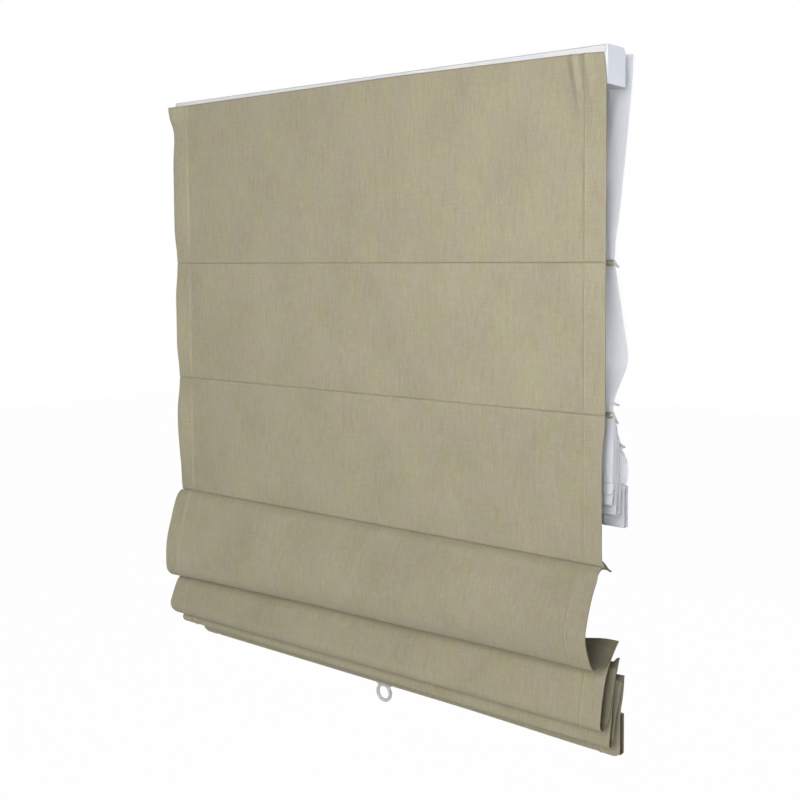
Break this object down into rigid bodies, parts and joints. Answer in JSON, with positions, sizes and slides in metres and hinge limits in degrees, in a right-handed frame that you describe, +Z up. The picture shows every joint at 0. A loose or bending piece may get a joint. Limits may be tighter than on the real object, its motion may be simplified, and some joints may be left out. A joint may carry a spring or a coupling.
{
  "type": "roman blind",
  "caption": "Cordless roman blind with a linen-look front shade gathered in soft folds and a white liner shade behind it, both carried by spring motors in one headrail.",
  "frame": {"origin": "middle of the line between the two bracket screw holes, level with the top of the brackets and of the headrail, where the ceiling or soffit meets it", "axes": "+X to the right seen from the room, -Y towards the room and +Y towards the window, +Z up"},
  "size_m": [0.8, 0.1052, 0.9315],
  "materials": {
    "headrail_white": "smooth white powder coat",
    "cap_white": "smooth moulded plastic",
    "bracket_steel": "plain spring steel",
    "tape_white": "hook and loop tape",
    "guide_white": "moulded plastic",
    "motor_plastic": "moulded plastic",
    "wheel_plastic": "moulded acetal",
    "spring_steel": "rolled spring strip",
    "front_cloth": "slubby linen-look weave",
    "liner_cloth": "plain white weave",
    "rod_white": "drawn glass-fibre rod",
    "eyelet_white": "moulded plastic",
    "bar_aluminium": "white coated aluminium tube",
    "clear_plastic": "clear moulded plastic",
    "cord_white": "braided polyester cord"
  },
  "bodies": {
    "headrail_and_face": {"headrail": "headrail_white", "end_cap_left": "cap_white", "end_cap_right": "cap_white", "mounting_brackets": "bracket_steel", "front_hook_tape": "tape_white", "rear_hook_tape": "tape_white", "cord_guides": "guide_white", "front_motor_housing": "motor_plastic", "front_motor_cover": "motor_plastic", "front_motor_spring": "spring_steel", "rear_motor_housing": "motor_plastic", "rear_motor_cover": "motor_plastic", "rear_motor_spring": "spring_steel", "front_face_cloth": "front_cloth", "front_lower_panel": "front_cloth", "front_upper_rods": "rod_white", "front_upper_eyelets": "eyelet_white", "front_lift_cords": "cord_white", "rear_hanging_cloth": "liner_cloth", "rear_heading_eyelets": "eyelet_white", "rear_lift_cords": "cord_white"},
    "front_gather": {"front_fold_1": "front_cloth", "front_rod_3": "rod_white", "front_eyelets_3": "eyelet_white"},
    "front_gather_2": {"front_fold_2": "front_cloth", "front_rod_4": "rod_white", "front_eyelets_4": "eyelet_white"},
    "front_gather_3": {"front_fold_3": "front_cloth", "front_rod_5": "rod_white", "front_eyelets_5": "eyelet_white"},
    "front_bar": {"front_hem_cloth": "front_cloth", "front_rod_6": "rod_white", "front_eyelets_6": "eyelet_white", "front_bottom_bar": "bar_aluminium", "front_pull_ring": "clear_plastic"},
    "rear_first_rod": {"rear_rod_1": "rod_white", "rear_eyelets_1": "eyelet_white"},
    "rear_bar": {"rear_gathered_cloth": "liner_cloth", "rear_gathered_rods": "rod_white", "rear_gathered_eyelets": "eyelet_white", "rear_bottom_bar": "bar_aluminium", "rear_pull_ring": "clear_plastic"},
    "front_spool_left": {"front_spool_left": "wheel_plastic"},
    "front_drive_wheel": {"front_drive_wheel": "wheel_plastic"},
    "front_storage_wheel": {"front_storage_wheel": "wheel_plastic"},
    "front_spool_right": {"front_spool_right": "wheel_plastic"},
    "rear_spool_left": {"rear_spool_left": "wheel_plastic"},
    "rear_drive_wheel": {"rear_drive_wheel": "wheel_plastic"},
    "rear_storage_wheel": {"rear_storage_wheel": "wheel_plastic"},
    "rear_spool_right": {"rear_spool_right": "wheel_plastic"}
  },
  "joints": [
    {"name": "front_raise", "type": "slide", "parent": "headrail_and_face", "child": "front_gather", "axis": [0, 0, 1], "range_m": [0, 0.13], "deforming": ["front_lower_panel"]},
    {"name": "front_lower", "type": "slide", "parent": "front_gather", "child": "front_gather_2", "axis": [0, 0, -1], "range_m": [0, 0.075], "deforming": ["front_fold_1", "front_lift_cords"]},
    {"name": "front_lower_2", "type": "slide", "parent": "front_gather_2", "child": "front_gather_3", "axis": [0, 0, -1], "range_m": [0, 0.1661], "deforming": ["front_fold_2"]},
    {"name": "front_lower_3", "type": "slide", "parent": "front_gather_3", "child": "front_bar", "axis": [0, 0, -1], "range_m": [0, 0.1711], "deforming": ["front_fold_3"]},
    {"name": "rear_raise", "type": "slide", "parent": "headrail_and_face", "child": "rear_first_rod", "axis": [0, 0, 1], "range_m": [0, 0.2], "deforming": ["rear_hanging_cloth", "rear_lift_cords"]},
    {"name": "rear_raise_2", "type": "slide", "parent": "rear_first_rod", "child": "rear_bar", "axis": [0, 0, 1], "range_m": [0, 0.1601]},
    {"name": "front_spool_left_spin", "type": "hinge", "parent": "headrail_and_face", "child": "front_spool_left", "pos_m": [-0.1258, 0, -0.0344], "axis": [0, 0, 1], "range_deg": [-3526, 0]},
    {"name": "front_drive_wheel_spin", "type": "hinge", "parent": "headrail_and_face", "child": "front_drive_wheel", "pos_m": [-0.0986, 0, -0.0344], "axis": [0, 0, 1], "range_deg": [0, 3526]},
    {"name": "front_storage_wheel_spin", "type": "hinge", "parent": "headrail_and_face", "child": "front_storage_wheel", "pos_m": [-0.0714, 0, -0.0344], "axis": [0, 0, 1], "range_deg": [-3526, 0]},
    {"name": "front_spool_right_spin", "type": "hinge", "parent": "headrail_and_face", "child": "front_spool_right", "pos_m": [-0.0442, 0, -0.0344], "axis": [0, 0, 1], "range_deg": [0, 3526]},
    {"name": "rear_spool_left_spin", "type": "hinge", "parent": "headrail_and_face", "child": "rear_spool_left", "pos_m": [0.0442, 0, -0.0344], "axis": [0, 0, 1], "range_deg": [-3081, 0]},
    {"name": "rear_drive_wheel_spin", "type": "hinge", "parent": "headrail_and_face", "child": "rear_drive_wheel", "pos_m": [0.0714, 0, -0.0344], "axis": [0, 0, 1], "range_deg": [0, 3081]},
    {"name": "rear_storage_wheel_spin", "type": "hinge", "parent": "headrail_and_face", "child": "rear_storage_wheel", "pos_m": [0.0986, 0, -0.0344], "axis": [0, 0, 1], "range_deg": [-3081, 0]},
    {"name": "rear_spool_right_spin", "type": "hinge", "parent": "headrail_and_face", "child": "rear_spool_right", "pos_m": [0.1258, 0, -0.0344], "axis": [0, 0, 1], "range_deg": [0, 3081]}
  ],
  "couplings": [
    {"joint": "front_lower_2", "follows": "front_lower", "ratio": 2.2133},
    {"joint": "front_lower_3", "follows": "front_lower", "ratio": 2.28},
    {"joint": "rear_raise_2", "follows": "rear_raise", "ratio": 0.8},
    {"joint": "front_spool_left_spin", "follows": "front_lower", "rad_per_m": -819.9},
    {"joint": "front_drive_wheel_spin", "follows": "front_lower", "rad_per_m": 819.9},
    {"joint": "front_storage_wheel_spin", "follows": "front_lower", "rad_per_m": -819.9},
    {"joint": "front_spool_right_spin", "follows": "front_lower", "rad_per_m": 819.9},
    {"joint": "rear_spool_left_spin", "follows": "rear_raise", "rad_per_m": -268.66},
    {"joint": "rear_drive_wheel_spin", "follows": "rear_raise", "rad_per_m": 268.66},
    {"joint": "rear_storage_wheel_spin", "follows": "rear_raise", "rad_per_m": -268.66},
    {"joint": "rear_spool_right_spin", "follows": "rear_raise", "rad_per_m": 268.66}
  ]
}
